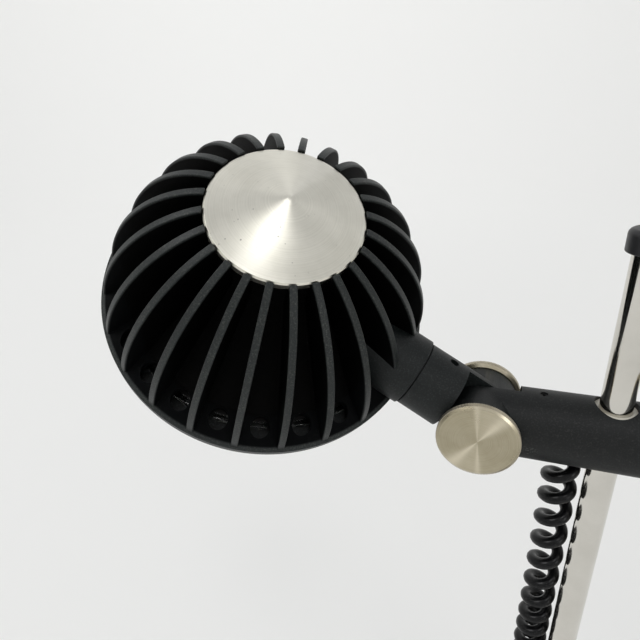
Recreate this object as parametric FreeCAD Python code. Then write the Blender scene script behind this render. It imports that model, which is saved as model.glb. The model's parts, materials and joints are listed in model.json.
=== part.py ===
import FreeCAD, Part
import math
import os
from FreeCAD import Placement, Rotation, Vector

# Task lamp with a finned head on a short arm that slides on an upright stem.
# Millimetres. +Z is up, and the stem's axis is the Z axis with z = 0 on the table.
# The arm runs along X, with the head at its -X end.

# --- driving dimensions -------------------------------------------------------
arm_height = 400.0            # arm's axis above the table, with the slide at rest
arm_reach = 42.1              # stem axis to the tilt pivot
arm_tail = 26.0               # stem axis to the arm's rear end
arm_radius = 12.5             # arm tube and knuckle

neck_reach = 92.0             # tilt pivot to the head's axis
head_tilt = 30.0              # neck's rise towards the head, degrees
head_roll = 32.4              # head turned about the neck, degrees

disc_radius = 25.2
disc_thick = 3.0
disc_edge = 0.5
disc_rise = 7.0               # tip of the disc's shallow cone above its edge
rim_radius = 62.4
rim_drop = 52.5               # disc's top down to the top of the rim's lip
rim_depth = 4.3               # height of the lip
lip_proud = 0.4               # lip beyond the fin ends
neck_drop = 42.85             # disc's top down to the neck's axis

fin_count = 24
fin_thick = 2.4
fin_arc_radius = 44.0         # oval that the fins' outer edges follow, radial
fin_arc_height = 60.6         # the same oval, upright
fin_arc_centre = 18.4         # radius at which the oval starts level
fin_fullness = 1.78           # the oval's exponent, 2 for an ellipse
fin_proud = 1.85              # oval's top above the disc's edge
fin_steps = 14                # points along a fin's outer edge

shell_wall = 3.0
crown_radius = 24.6           # core below the disc
crown_drop = 12.0             # depth at which the core starts to flare
flange_inner_radius = 51.5
flange_inner_drop = 44.0
vent_radius = 3.4
vent_circle = 55.3

boss_radius = 13.2
seam_reach = 63.5             # head's axis to the swivel seam
spigot_radius = 8.0
spigot_bore = 3.5
spigot_reach = 13.0           # spigot's length inside the knuckle
spigot_in_head = 14.0
groove_depth = 1.4
groove_half = 1.7

shoulder_gap = 0.5            # each half-lap's shoulder to the other barrel
barrel_proud = 0.4            # barrel's outer face beyond the tube's side
lap_gap = 0.5
bolt_radius = 4.0
bolt_grip = 2.1               # bolt's length inside each knob
bolt_end_gap = 0.3
washer_radius = 9.0
washer_thick = 0.4
knob_radius = 14.0
knob_thick = 3.2
knob_hub_radius = 9.0
knob_gap = 0.6                # barrel's outer face to the knob's inner face
knob_bevel = 0.6

stem_radius = 5.0
stem_above = 68.0             # stem above the arm's axis
stem_cap_radius = 7.0
stem_cap_height = 7.0
bush_wall = 1.6
bush_length = 6.0
shoe_radius = 4.0
shoe_length = 5.0
clamp_screw_radius = 2.5
clamp_plug_length = 6.0
clamp_gap = 1.0               # arm's rear end to the rear knob

neck_grub_radius = 1.8
arm_grub_radius = 1.2
collar_grub_radius = 2.0
neck_grub_reach = 19.2        # tilt pivot to the knuckle's set screw
arm_grub_reach = 20.1         # tilt pivot to the arm's cord clamp screw

coil_radius = 7.0             # outer radius of the curly cord
gland_radius = 4.0
gland_depth = 6.0
gland_proud = 0.4
cord_bore = 2.4
coil_offset = 12.4            # cord's axis from the stem's axis at both glands, towards -X
coil_aside = 2.0              # the same, towards +Y

base_radius = 88.0
base_height = 46.0
base_wall = 5.0
base_edge = 6.0
base_lift = 2.0               # underside of the base above the table
plate_thick = 2.0
spindle_radius = 9.0
spindle_bore = 5.5
collar_radius = 20.0
collar_height = 18.0
collar_gap = 0.6
spindle_nut_radius = 13.0
spindle_nut_height = 5.0
spindle_length = 12.0         # below the collar
way_floor = 2.0               # collar's underside to the cord's way
ballast_inner = 44.0
ballast_outer = 76.0
ballast_height = 12.0
core_inner = 18.0
core_outer = 33.0
core_height = 24.0
winding_wall = 4.0
pad_radius = 73.0
cover_screw_circle = 79.0
cover_screw_count = 3

switch_x = -48.0
switch_y = -36.0
switch_length = 26.0
switch_width = 14.0
switch_depth = 14.0
inlet_width = 27.0
inlet_height = 20.0
inlet_depth = 18.0
inlet_wall = 2.0

glass_radius = 54.4
glass_thick = 3.0
bezel_inner = 50.0
bezel_thick = 1.6
bezel_lug_circle = 57.4
bezel_lug_radius = 2.2
bezel_screw_count = 3
reflector_wall = 0.8
reflector_mouth = 49.5
reflector_lip = 52.5
reflector_hole = 9.5
socket_side = 12.0
socket_height = 10.0
socket_drop = 15.0
bulb_radius = 5.5
bulb_length = 15.0
pin_radius = 0.5
pin_spread = 3.2

run_clear = 0.06              # shaft in its own bore
fit_clear = 0.2               # loose parts of one body
air = 0.4                     # parts that move past each other

# --- worked-out places ---------------------------------------------------------
up = Vector(0, 0, 1)
along_x = Vector(1, 0, 0)
along_y = Vector(0, 1, 0)
pivot = Vector(-arm_reach, 0, arm_height)
rim_bottom = rim_drop + rim_depth
shell_top = disc_thick
shoulder = arm_radius + shoulder_gap
barrel_half = arm_radius + barrel_proud     # lap plane to the barrel's outer face
knob_face = barrel_half + knob_gap          # lap plane to the knob's inner face
bolt_end = knob_face + bolt_grip
collar_bottom = base_height + collar_gap
collar_grub_z = collar_bottom + 10.0
collar_top = collar_bottom + collar_height
coil_top = arm_height - arm_radius - gland_proud
coil_bottom = collar_top + gland_proud
cavity_radius = rim_radius - shell_wall + 0.6
cavity_lip_drop = rim_drop + 1.4

arm_place = Placement(pivot, Rotation())
knuckle_place = Placement(pivot, Rotation(along_y, head_tilt))
head_place = knuckle_place.multiply(
    Placement(Vector(-neck_reach, 0, 0), Rotation(along_x, head_roll)))
head_place = head_place.multiply(Placement(Vector(0, 0, neck_drop), Rotation()))


# --- helpers --------------------------------------------------------------------
def rod(radius, length, start, direction):
    return Part.makeCylinder(radius, length, start, direction)


def ring(outer, inner, length, start, direction):
    return rod(outer, length, start, direction).cut(rod(inner, length, start, direction))


def block(size_x, size_y, size_z, centre):
    corner = centre - Vector(size_x / 2, size_y / 2, size_z / 2)
    return Part.makeBox(size_x, size_y, size_z, corner)


def turned(outline):
    """Solid of revolution about Z from (radius, z) corners."""
    corners = [Vector(radius, 0, z) for radius, z in outline]
    wire = Part.makePolygon(corners + corners[:1])
    return Part.Face(wire).revolve(Vector(0, 0, 0), up, 360)


def polar(radius, degrees, z=0.0):
    angle = math.radians(degrees)
    return Vector(radius * math.cos(angle), radius * math.sin(angle), z)


def cap_screw(head_radius, head_height, shank_radius, length, start, direction):
    """Round-headed screw with a cross-cut slot, head outward along direction."""
    head = rod(head_radius, head_height, start, direction)
    shank = rod(shank_radius, length, start, direction.negative())
    side = direction.cross(along_x)
    if side.Length < 0.1:
        side = direction.cross(along_y)
    slot = Part.makeBox(2.4 * head_radius, 0.5, 0.5)
    slot.translate(Vector(-1.2 * head_radius, -0.25, head_height - 0.5))
    slot.Placement = Placement(start, Rotation(up, direction)).multiply(slot.Placement)
    return head.fuse(shank).cut(slot)


def grub(radius, length, outer_end, direction):
    """Headless screw with a hexagon socket in its outer end."""
    body = rod(radius, length, outer_end, direction.negative())
    hexagon = [polar(0.55 * radius, 60 * i) for i in range(6)]
    face = Part.Face(Part.makePolygon(hexagon + hexagon[:1]))
    socket = face.extrude(Vector(0, 0, -1.6))
    socket.Placement = Placement(outer_end, Rotation(up, direction))
    return body.cut(socket)


def save(name, shape, place=None):
    if place is not None:
        shape = shape.copy()
        shape.Placement = place.multiply(shape.Placement)
    shape = shape.removeSplitter()
    shape.exportStep(os.path.join("parts", name + ".step"))


# --- head: built with the disc's top at z = 0 and the neck towards +X --------------
def oval(share):
    return (1 - share ** fin_fullness) ** (1 / fin_fullness)


def make_fin():
    start_radius = disc_radius + fit_clear
    centre_z = fin_proud - fin_arc_height
    low_share = (-rim_drop - centre_z) / fin_arc_height
    low_radius = fin_arc_centre + fin_arc_radius * oval(abs(low_share))
    outer = []
    for i in range(fin_steps + 1):
        radius = start_radius + (low_radius - start_radius) * math.sin(math.pi / 2 * i / fin_steps)
        height = oval((radius - fin_arc_centre) / fin_arc_radius)
        outer.append(Vector(radius, 0, centre_z + fin_arc_height * height))
    outer[-1].z = -rim_drop
    curve = Part.BSplineCurve()
    curve.interpolate(outer)
    edge = curve.toShape()
    top = outer[0]
    low = outer[-1]
    inside = Vector(rim_radius - shell_wall, 0, -rim_bottom + 0.5)
    crown = Vector(crown_radius - shell_wall, 0, -crown_drop)
    crown_up = Vector(crown_radius - shell_wall, 0, -shell_top - 1)
    step = Vector(start_radius, 0, -shell_top - 1)
    low_rim = Vector(low_radius, 0, -rim_bottom + 0.5)
    chain = [low, low_rim, inside, crown, crown_up, step, top]
    edges = [edge]
    for a, b in zip(chain, chain[1:]):
        edges.append(Part.LineSegment(a, b).toShape())
    face = Part.Face(Part.Wire(Part.__sortEdges__(edges)))
    face.translate(Vector(0, -fin_thick / 2, 0))
    return face.extrude(Vector(0, fin_thick, 0))


def make_housing():
    shell = turned([(0, -shell_top), (crown_radius, -shell_top), (crown_radius, -crown_drop),
                    (flange_inner_radius, -flange_inner_drop), (rim_radius, -rim_drop),
                    (rim_radius + lip_proud, -rim_drop),
                    (rim_radius + lip_proud, -rim_bottom), (0, -rim_bottom)])
    fin = make_fin()
    fins = []
    for i in range(fin_count):
        copy = fin.copy()
        copy.rotate(Vector(0, 0, 0), up, (i + 0.5) * 360 / fin_count)
        fins.append(copy)
    boss_start = flange_inner_radius - 2 * shell_wall - 8
    boss_end = seam_reach - lap_gap / 2
    boss = rod(boss_radius, boss_end - boss_start, Vector(boss_start, 0, -neck_drop), along_x)
    body = shell.multiFuse(fins + [boss])
    cavity = turned([(0, -crown_drop), (crown_radius - shell_wall, -crown_drop),
                     (crown_radius - shell_wall, -crown_drop - shell_wall),
                     (flange_inner_radius - 1.6, -flange_inner_drop - 2.4),
                     (cavity_radius, -cavity_lip_drop), (cavity_radius, -rim_bottom - 1),
                     (0, -rim_bottom - 1)])
    body = body.cut(cavity)
    vents = []
    for i in range(fin_count):
        if min(i, fin_count - i) > 1:
            spot = polar(vent_circle, i * 360 / fin_count, -rim_bottom)
            vents.append(rod(vent_radius, rim_bottom - flange_inner_drop + 6, spot, up))
    lugs = []
    lug_holes = []
    for i in range(bezel_screw_count):
        spot = polar(bezel_lug_circle, bezel_angle(i), -rim_bottom + bezel_thick)
        lugs.append(rod(bezel_lug_radius, rim_depth + 3.0, spot, up))
        lug_holes.append(rod(1.0, 4.5, spot, up))
    disc_bore = rod(3.0, crown_drop, Vector(0, 0, -crown_drop), up)
    bore = rod(spigot_radius, spigot_in_head + 12,
               Vector(boss_end - spigot_in_head - 10, 0, -neck_drop), along_x)
    socket_holes = [rod(1.5, 6, Vector(0, side * 9.0, -crown_drop), up) for side in (-1, 1)]
    body = body.cut(Part.makeCompound(vents)).multiFuse(lugs)
    body = body.cut(Part.makeCompound(lug_holes + [disc_bore, bore] + socket_holes))
    return body


def bezel_angle(index):
    return 52.5 + index * 360 / bezel_screw_count


def make_disc():
    plate = turned([(0, disc_rise), (0, -disc_thick), (disc_radius, -disc_thick),
                    (disc_radius, -disc_edge), (disc_radius - disc_edge, 0)])
    stud = rod(3.0, 5.0, Vector(0, 0, -disc_thick - 5.0), up)
    return plate.fuse(stud)


def make_reflector():
    glass_top = rim_bottom - bezel_thick - glass_thick
    depth = glass_top - reflector_wall - socket_drop - 4.0
    steps = 10
    outside = []
    for i in range(steps + 1):
        share = i / steps
        radius = reflector_hole + (reflector_mouth - reflector_hole) * share
        outside.append((radius, -glass_top + reflector_wall + depth * (1 - share ** 2)))
    inside = [(radius - reflector_wall, z - reflector_wall / 3) for radius, z in outside]
    inside[-1] = (reflector_mouth - reflector_wall, -glass_top)
    lip = [(reflector_lip, -glass_top + reflector_wall), (reflector_lip, -glass_top)]
    return turned(outside + lip + inside[::-1])


def make_bezel():
    plate = ring(cavity_radius - fit_clear, bezel_inner, bezel_thick,
                 Vector(0, 0, -rim_bottom), up)
    for i in range(bezel_screw_count):
        hole = rod(1.2, bezel_thick, polar(bezel_lug_circle, bezel_angle(i), -rim_bottom), up)
        plate = plate.cut(hole)
    return plate


def make_head():
    save("heat_sink_housing", make_housing(), head_place)
    save("top_disc", make_disc(), head_place)
    save("reflector", make_reflector(), head_place)
    save("bezel_ring", make_bezel(), head_place)
    glass_low = -rim_bottom + bezel_thick
    glass = rod(glass_radius, glass_thick, Vector(0, 0, glass_low), up)
    save("front_glass", glass, head_place)

    screws = []
    for i in range(bezel_screw_count):
        start = polar(bezel_lug_circle, bezel_angle(i), -rim_bottom)
        screws.append(cap_screw(1.9, 1.0, 1.0, 5.0, start, up.negative()))
    save("bezel_screws", Part.makeCompound(screws), head_place)

    bracket_z = -crown_drop - 1.0
    bracket = block(socket_side, 24.0, 1.0, Vector(0, 0, bracket_z + 0.5))
    for side in (-1, 1):
        bracket = bracket.cut(rod(1.6, 1.0, Vector(0, side * 9.0, bracket_z), up))
    save("socket_bracket", bracket, head_place)
    fixings = []
    for side in (-1, 1):
        start = Vector(0, side * 9.0, bracket_z)
        fixings.append(cap_screw(2.6, 1.4, 1.5, 6.0, start, up.negative()))
    save("bracket_screws", Part.makeCompound(fixings), head_place)

    socket_top = -crown_drop - 1.0
    socket_low = socket_top - socket_height
    socket = block(socket_side, socket_side, socket_height,
                   Vector(0, 0, socket_top - socket_height / 2))
    pins = []
    for side in (-1, 1):
        spot = Vector(0, side * pin_spread, socket_low)
        socket = socket.cut(rod(pin_radius + run_clear, 7.0, spot, up))
        pins.append(rod(pin_radius, 8.0, spot - Vector(0, 0, 2.0), up))
    save("lamp_socket", socket, head_place)

    pinch = block(3.0, 9.0, 7.0, Vector(0, 0, socket_low - 4.0))
    envelope = rod(bulb_radius, bulb_length, Vector(0, 0, socket_low - 7.0 - bulb_length), up)
    tip = Part.makeSphere(bulb_radius, Vector(0, 0, socket_low - 7.0 - bulb_length))
    bulb = envelope.fuse(tip).fuse(pinch)
    save("halogen_capsule", bulb.cut(Part.makeCompound(pins)), head_place)
    save("capsule_pins", Part.makeCompound(pins), head_place)

    spigot_start = seam_reach - spigot_in_head
    spigot_length = spigot_in_head + spigot_reach
    start = Vector(spigot_start, 0, -neck_drop)
    spigot = rod(spigot_radius - run_clear, spigot_length, start, along_x)
    spigot = spigot.fuse(rod(spigot_radius, spigot_in_head - lap_gap, start, along_x))
    spigot = spigot.cut(rod(spigot_bore, spigot_length, start, along_x))
    groove_centre = neck_reach - neck_grub_reach
    groove = ring(spigot_radius + 1, spigot_radius - groove_depth, 2 * groove_half,
                  Vector(groove_centre - groove_half, 0, -neck_drop), along_x)
    save("neck_spigot", spigot.cut(groove), head_place)


# --- tilt joint: built with the pivot at the origin --------------------------------
def half_lap(side, body_start, body_end, shoulder_sign):
    """Round bar whose end is halved at the lap plane and joins a barrel on the pivot."""
    bar = rod(arm_radius, body_end - body_start, Vector(body_start, 0, 0), along_x)
    big = 4 * arm_radius
    edge = lap_gap / 2
    shoulder_x = shoulder_sign * shoulder
    cut_centre = Vector(shoulder_x - shoulder_sign * big / 2, side * (edge - big / 2), 0)
    bar = bar.cut(block(big, big, big, cut_centre))
    barrel = rod(arm_radius, barrel_half - edge, Vector(0, side * edge, 0),
                 along_y if side > 0 else along_y.negative())
    body = bar.fuse(barrel)
    face = rod(washer_radius + air, big, Vector(0, side * barrel_half, 0),
               along_y if side > 0 else along_y.negative())
    body = body.cut(face)
    return body.cut(rod(bolt_radius + run_clear, big, Vector(0, -big / 2, 0), along_y))


def make_knob(side):
    """Turned clamp knob: a flat disc with a bevelled rim on a short hub."""
    outward = along_y if side > 0 else along_y.negative()
    inner = barrel_half + washer_thick
    hub = rod(knob_hub_radius, knob_face - inner, Vector(0, side * inner, 0), outward)
    disc = rod(knob_radius, knob_thick, Vector(0, side * knob_face, 0), outward)
    rims = [edge for edge in disc.Edges if edge.Closed]
    disc = disc.makeChamfer(knob_bevel, rims)
    return hub.fuse(disc)


def make_joint():
    seam_x = -(neck_reach - seam_reach) + lap_gap / 2
    knuckle = half_lap(1, seam_x, 0.0, -1)
    bore_depth = spigot_reach + air
    bore = rod(spigot_radius, bore_depth, Vector(seam_x, 0, 0), along_x)
    screw_hole = rod(neck_grub_radius, 2 * arm_radius, Vector(-neck_grub_reach, 0, 0), up)
    save("head_knuckle", knuckle.cut(bore).cut(screw_hole), knuckle_place)

    washer = ring(arm_radius - 1.0, spigot_radius + air, lap_gap,
                  Vector(seam_x - lap_gap, 0, 0), along_x)
    save("neck_washer", washer, knuckle_place)
    tip_low = spigot_radius - groove_depth + air / 2
    head_end = Vector(-neck_grub_reach, 0, arm_radius - 0.8)
    screw = grub(neck_grub_radius, head_end.z - spigot_radius - air, head_end, up)
    tip = rod(groove_half - air, spigot_radius + 1 - tip_low,
              Vector(-neck_grub_reach, 0, tip_low), up)
    save("neck_set_screw", screw.fuse(tip), knuckle_place)

    for name, side, place in (("near_washer", -1, arm_place), ("far_washer", 1, knuckle_place)):
        outward = along_y if side > 0 else along_y.negative()
        plate = ring(washer_radius, bolt_radius + air, washer_thick,
                     Vector(0, side * barrel_half, 0), outward)
        save(name, plate, place)
    friction = ring(arm_radius - 2.5, bolt_radius + air, lap_gap,
                    Vector(0, -lap_gap / 2, 0), along_y)
    save("lap_washer", friction, arm_place)

    near_bore = rod(bolt_radius + run_clear, bolt_end - barrel_half + bolt_end_gap,
                    Vector(0, -bolt_end - bolt_end_gap, 0), along_y)
    save("near_knob", make_knob(-1).cut(near_bore), arm_place)
    bolt = rod(bolt_radius, 2 * bolt_end, Vector(0, -bolt_end, 0), along_y)
    save("far_knob", make_knob(1).cut(bolt), knuckle_place)
    save("pivot_bolt", bolt, knuckle_place)


# --- arm: built with the tilt pivot at the origin -----------------------------------
def make_arm():
    rear = arm_reach + arm_tail
    body = half_lap(-1, 0.0, rear, 1)
    stem_x = arm_reach
    bush_radius = stem_radius + bush_wall
    big = 4 * arm_radius
    stem_hole = rod(bush_radius, big, Vector(stem_x, 0, -big / 2), up)
    clamp_bore = rod(shoe_radius, rear - stem_x, Vector(stem_x, 0, 0), along_x)
    gland_x = arm_reach - coil_offset
    gland_hole = rod(gland_radius, gland_depth + 1,
                     Vector(gland_x, coil_aside, -arm_radius - 1), up)
    cord_way = rod(cord_bore, arm_radius, Vector(gland_x, coil_aside, -arm_radius), up)
    cord_run = rod(cord_bore, gland_x - shoulder, Vector(shoulder, coil_aside, 0), along_x)
    grub_hole = rod(arm_grub_radius, arm_radius + 1, Vector(arm_grub_reach, 0, 0), up)
    cuts = [stem_hole, clamp_bore, gland_hole, cord_way, cord_run, grub_hole]
    for tool in cuts:
        body = body.cut(tool)
    rear_edges = [edge for edge in body.Edges
                  if edge.BoundBox.XMin > rear - 0.01 and edge.BoundBox.ZMax > arm_radius - 0.1]
    body = body.makeChamfer(0.8, rear_edges)
    save("arm_tube", body, arm_place)

    bushes = []
    inset = math.sqrt(arm_radius ** 2 - bush_radius ** 2) - 0.2
    shoe_way = rod(shoe_radius, big, Vector(stem_x, 0, 0), along_x)
    for low in (-inset, inset - bush_length):
        bush = ring(bush_radius, stem_radius + run_clear, bush_length, Vector(stem_x, 0, low), up)
        bushes.append(bush.cut(shoe_way))
    save("stem_bushes", Part.makeCompound(bushes), arm_place)

    shoe_start = Vector(stem_x + stem_radius - 1.0, 0, 0)
    shoe = rod(shoe_radius - run_clear, shoe_length, shoe_start, along_x)
    shoe = shoe.cut(rod(stem_radius + run_clear, big, Vector(stem_x, 0, -big / 2), up))
    save("brake_shoe", shoe, arm_place)

    plug = ring(shoe_radius, clamp_screw_radius + run_clear, clamp_plug_length,
                Vector(rear - clamp_plug_length, 0, 0), along_x)
    save("clamp_bush", plug, arm_place)
    screw_start = shoe_start.x + shoe_length + air
    screw_end = rear + clamp_gap + knob_thick - 1.0
    screw = rod(clamp_screw_radius, screw_end - screw_start, Vector(screw_start, 0, 0), along_x)
    knob = rod(knob_radius, knob_thick, Vector(rear + clamp_gap, 0, 0), along_x)
    rims = [edge for edge in knob.Edges if edge.Closed]
    knob = knob.makeChamfer(knob_bevel, rims)
    save("rear_knob", knob.cut(screw), arm_place)
    save("clamp_screw", screw, arm_place)

    grub_end = Vector(arm_grub_reach, 0, arm_radius - 0.8)
    save("cord_clamp_screw", grub(arm_grub_radius, 7.0, grub_end, up), arm_place)
    gland = ring(gland_radius, cord_bore, gland_depth + gland_proud,
                 Vector(gland_x, coil_aside, -arm_radius - gland_proud), up)
    save("arm_gland", gland, arm_place)


# --- stem and turning foot collar ----------------------------------------------------
def make_stem():
    stem_low = collar_bottom + 4.0
    stem_top = arm_height + stem_above
    stem = rod(stem_radius, stem_top - stem_low, Vector(0, 0, stem_low), up)
    save("stem", stem.makeChamfer(0.5, [e for e in stem.Edges if e.Closed][:1]))
    cap = rod(stem_cap_radius, stem_cap_height, Vector(0, 0, stem_top - 4.0), up)
    cap = cap.makeFillet(1.5, [e for e in cap.Edges if e.Closed and e.CenterOfMass.z > stem_top])
    save("stem_cap", cap.cut(stem))

    collar = rod(collar_radius, collar_height, Vector(0, 0, collar_bottom), up)
    top_edges = [e for e in collar.Edges if e.Closed and e.CenterOfMass.z > collar_top - 0.1]
    collar = collar.makeFillet(1.5, top_edges)
    spindle = rod(spindle_radius, spindle_length, Vector(0, 0, collar_bottom - spindle_length), up)
    collar = collar.fuse(spindle)
    cord_way = rod(spindle_bore, spindle_length + 3.0,
                   Vector(0, 0, collar_bottom - spindle_length), up)
    gland_at = Vector(-coil_offset, coil_aside, collar_top - gland_depth)
    gland_hole = rod(gland_radius, gland_depth, gland_at, up)
    way_low = Vector(-coil_offset, coil_aside, collar_bottom + way_floor)
    cross_way = rod(cord_bore, coil_offset, way_low, along_x)
    gland_way = rod(cord_bore, collar_height - way_floor, way_low, up)
    grub_hole = rod(collar_grub_radius, collar_radius, Vector(0, 0, collar_grub_z), along_x)
    for tool in (stem, cord_way, gland_hole, cross_way, gland_way, grub_hole):
        collar = collar.cut(tool)
    save("foot_collar", collar)
    screw_end = Vector(collar_radius - 1.0, 0, collar_grub_z)
    screw_length = screw_end.x - stem_radius
    save("collar_set_screw", grub(collar_grub_radius, screw_length, screw_end, along_x))
    gland = ring(gland_radius, cord_bore, gland_depth + gland_proud, gland_at, up)
    save("collar_gland", gland)
    washer = ring(collar_radius - 2.0, spindle_radius + air, collar_gap - 0.1,
                  Vector(0, 0, base_height), up)
    save("thrust_washer", washer)
    nut_low = base_height - base_wall - air - spindle_nut_height
    nut = ring(spindle_nut_radius, spindle_radius, spindle_nut_height, Vector(0, 0, nut_low), up)
    save("spindle_nut", nut)


# --- base ---------------------------------------------------------------------------
def cover_screw_angle(index):
    return 60.0 + index * 360 / cover_screw_count


def make_base():
    height = base_height - base_lift
    shell = rod(base_radius, height, Vector(0, 0, base_lift), up)
    top_edges = [e for e in shell.Edges if e.Closed and e.CenterOfMass.z > base_height - 0.1]
    shell = shell.makeFillet(base_edge, top_edges)
    hollow_radius = base_radius - base_wall
    hollow = rod(hollow_radius, height - base_wall, Vector(0, 0, base_lift), up)
    shell = shell.cut(hollow)
    pillars = []
    pillar_holes = []
    plate_top = base_lift + plate_thick
    for i in range(cover_screw_count):
        spot = polar(cover_screw_circle, cover_screw_angle(i), plate_top)
        pillars.append(rod(4.5, base_height - base_wall - plate_top, spot, up))
        pillar_holes.append(rod(1.5, 10.0, spot, up))
    shell = shell.multiFuse(pillars)
    switch_hole = block(switch_length - 3.0, switch_width - 3.0, 3 * base_wall,
                        Vector(switch_x, switch_y, base_height))
    inlet_z = base_lift + plate_thick + 5.0 + inlet_height / 2
    inlet_hole = block(inlet_width - 3.0, 4 * base_wall, inlet_height - 3.0,
                       Vector(0, base_radius - base_wall, inlet_z))
    spindle_hole = rod(spindle_radius + run_clear, 3 * base_wall,
                       Vector(0, 0, base_height - 2 * base_wall), up)
    for tool in pillar_holes + [switch_hole, inlet_hole, spindle_hole]:
        shell = shell.cut(tool)
    save("base_casting", shell)

    plate = rod(hollow_radius - fit_clear, plate_thick, Vector(0, 0, base_lift), up)
    screws = []
    for i in range(cover_screw_count):
        spot = polar(cover_screw_circle, cover_screw_angle(i), base_lift)
        plate = plate.cut(rod(1.6, plate_thick, spot, up))
        screws.append(cap_screw(3.0, 1.4, 1.5, 10.0, spot, up.negative()))
    pad = rod(pad_radius, base_lift, Vector(0, 0, 0), up)
    low_edges = [e for e in pad.Edges if e.Closed and e.CenterOfMass.z < 0.1]
    save("base_plate", plate)
    save("base_plate_screws", Part.makeCompound(screws))
    save("rubber_pad", pad.makeChamfer(0.5, low_edges))

    plate_top = base_lift + plate_thick
    ballast = ring(ballast_outer - 4.0, ballast_inner, ballast_height, Vector(0, 0, plate_top), up)
    switch_room = block(switch_length + 8, switch_width + 8, 60,
                        Vector(switch_x, switch_y, plate_top))
    inlet_room = block(inlet_width + 6, 60, 60, Vector(0, ballast_outer, plate_top))
    save("ballast_ring", ballast.cut(switch_room).cut(inlet_room))

    core_low = plate_top + winding_wall
    core = ring(core_outer, core_inner, core_height, Vector(0, 0, core_low), up)
    save("transformer_core", core)
    winding = ring(core_outer + winding_wall, core_inner - winding_wall,
                   core_height + 2 * winding_wall, Vector(0, 0, plate_top), up)
    save("transformer_winding", winding.cut(core))
    pad_low = plate_top + core_height + 2 * winding_wall
    pad = ring(core_outer - 3.0, spindle_nut_radius + 2.0, base_height - base_wall - pad_low,
               Vector(0, 0, pad_low), up)
    save("transformer_pad", pad)

    make_switch()
    make_inlet(inlet_z)


def make_switch():
    centre = Vector(switch_x, switch_y, 0)
    top = base_height
    outer = block(switch_length - 3.4, switch_width - 3.4, switch_depth,
                  centre + Vector(0, 0, top - switch_depth / 2))
    flange = block(switch_length, switch_width, 1.5, centre + Vector(0, 0, top + 0.75))
    well = block(switch_length - 6.4, switch_width - 6.4, switch_depth,
                 centre + Vector(0, 0, top + 1.5 - switch_depth / 2 + 2.0))
    body = outer.fuse(flange).cut(well)
    pin = rod(0.9, switch_width - 5.0, centre + Vector(0, -(switch_width - 5.0) / 2, top - 0.6),
              along_y)
    save("switch_body", body.cut(pin))
    half = (switch_length - 6.4) / 2 - 2.2 * air
    width = switch_width - 6.4 - 2 * air
    outline = [Vector(-half, 0, -3.2), Vector(half, 0, -3.2), Vector(half, 0, 1.6),
               Vector(0, 0, 0.6), Vector(-half, 0, 3.4)]
    face = Part.Face(Part.makePolygon(outline + outline[:1]))
    rocker = face.extrude(Vector(0, width, 0))
    rocker.translate(centre + Vector(0, -width / 2, top + 0.4))
    rocker = rocker.cut(rod(0.9 + run_clear, 20, centre + Vector(0, -10, top - 0.6), along_y))
    save("switch_rocker", rocker)
    save("rocker_pin", pin)


def make_inlet(inlet_z):
    wall_y = base_radius - 1.0
    centre = Vector(0, wall_y - inlet_depth / 2, inlet_z)
    outer = block(inlet_width - 3.4, inlet_depth + 3.0, inlet_height - 3.4,
                  centre + Vector(0, 1.5, 0))
    flange = block(inlet_width, 2.4, inlet_height, Vector(0, wall_y + 1.4, inlet_z))
    well = block(inlet_width - 7.4, inlet_depth, inlet_height - 7.4,
                 centre + Vector(0, inlet_wall + 2.6, 0))
    shoulder_room = rod(base_radius, 60, Vector(0, 0, 0), up)
    flange = flange.cut(shoulder_room)
    body = outer.fuse(flange).cut(well)
    blades = []
    for offset in (-6.0, 0.0, 6.0):
        blade = block(2.0, inlet_depth - 4.0, 4.0, Vector(offset, wall_y - inlet_depth / 2 - 1.0, inlet_z))
        body = body.cut(blade)
        blades.append(blade)
    save("mains_inlet", body)
    save("inlet_blades", Part.makeCompound(blades))


# --- curly cord: one fat tube of the coil's outer radius --------------------------------
cord_route = [(-12.4, 2.0, 387.1), (-12.0, 3.2, 342.0), (-11.4, 5.2, 292.0), (-11.2, 6.6, 235.0),
              (-11.6, 6.2, 172.0), (-12.2, 3.8, 115.0), (-12.4, 2.0, 65.0)]


def make_cord():
    points = [Vector(*point) for point in cord_route]
    points[0] = Vector(-coil_offset, coil_aside, coil_top)
    points[-1] = Vector(-coil_offset, coil_aside, coil_bottom)
    edges = []
    radii = []
    at = points[0]
    for before, corner, after in zip(points, points[1:], points[2:]):
        into = (corner - before).normalize()
        out = (after - corner).normalize()
        turn = into.getAngle(out)
        run = min((corner - before).Length, (after - corner).Length)
        back = 0.45 * run
        radius = back / math.tan(turn / 2)
        radii.append(radius)
        first = corner - into * back
        last = corner + out * back
        bisector = (out - into).normalize()
        middle = corner + bisector * (radius / math.cos(turn / 2) - radius)
        edges.append(Part.LineSegment(at, first).toShape())
        edges.append(Part.Arc(first, middle, last).toShape())
        at = last
    edges.append(Part.LineSegment(at, points[-1]).toShape())
    path = Part.Wire(edges)
    start = (points[1] - points[0]).normalize()
    section = Part.Wire(Part.makeCircle(coil_radius, points[0], start))
    tube = path.makePipeShell([section], True, False)
    keep = block(200, 200, coil_top - coil_bottom, Vector(0, 0, (coil_top + coil_bottom) / 2))
    tube = tube.common(keep)
    print("cord radii, mm:", [round(radius) for radius in radii])
    print("cord path, mm:", round(path.Length, 1))
    print("volume share:", round(tube.Volume / (math.pi * coil_radius ** 2 * path.Length), 4))
    save("curly_cord", tube)


os.makedirs("parts", exist_ok=True)
make_head()
make_joint()
make_arm()
make_stem()
make_base()
make_cord()
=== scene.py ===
import json
import math
import bmesh
import bpy
from mathutils import Euler, Matrix, Vector


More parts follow.
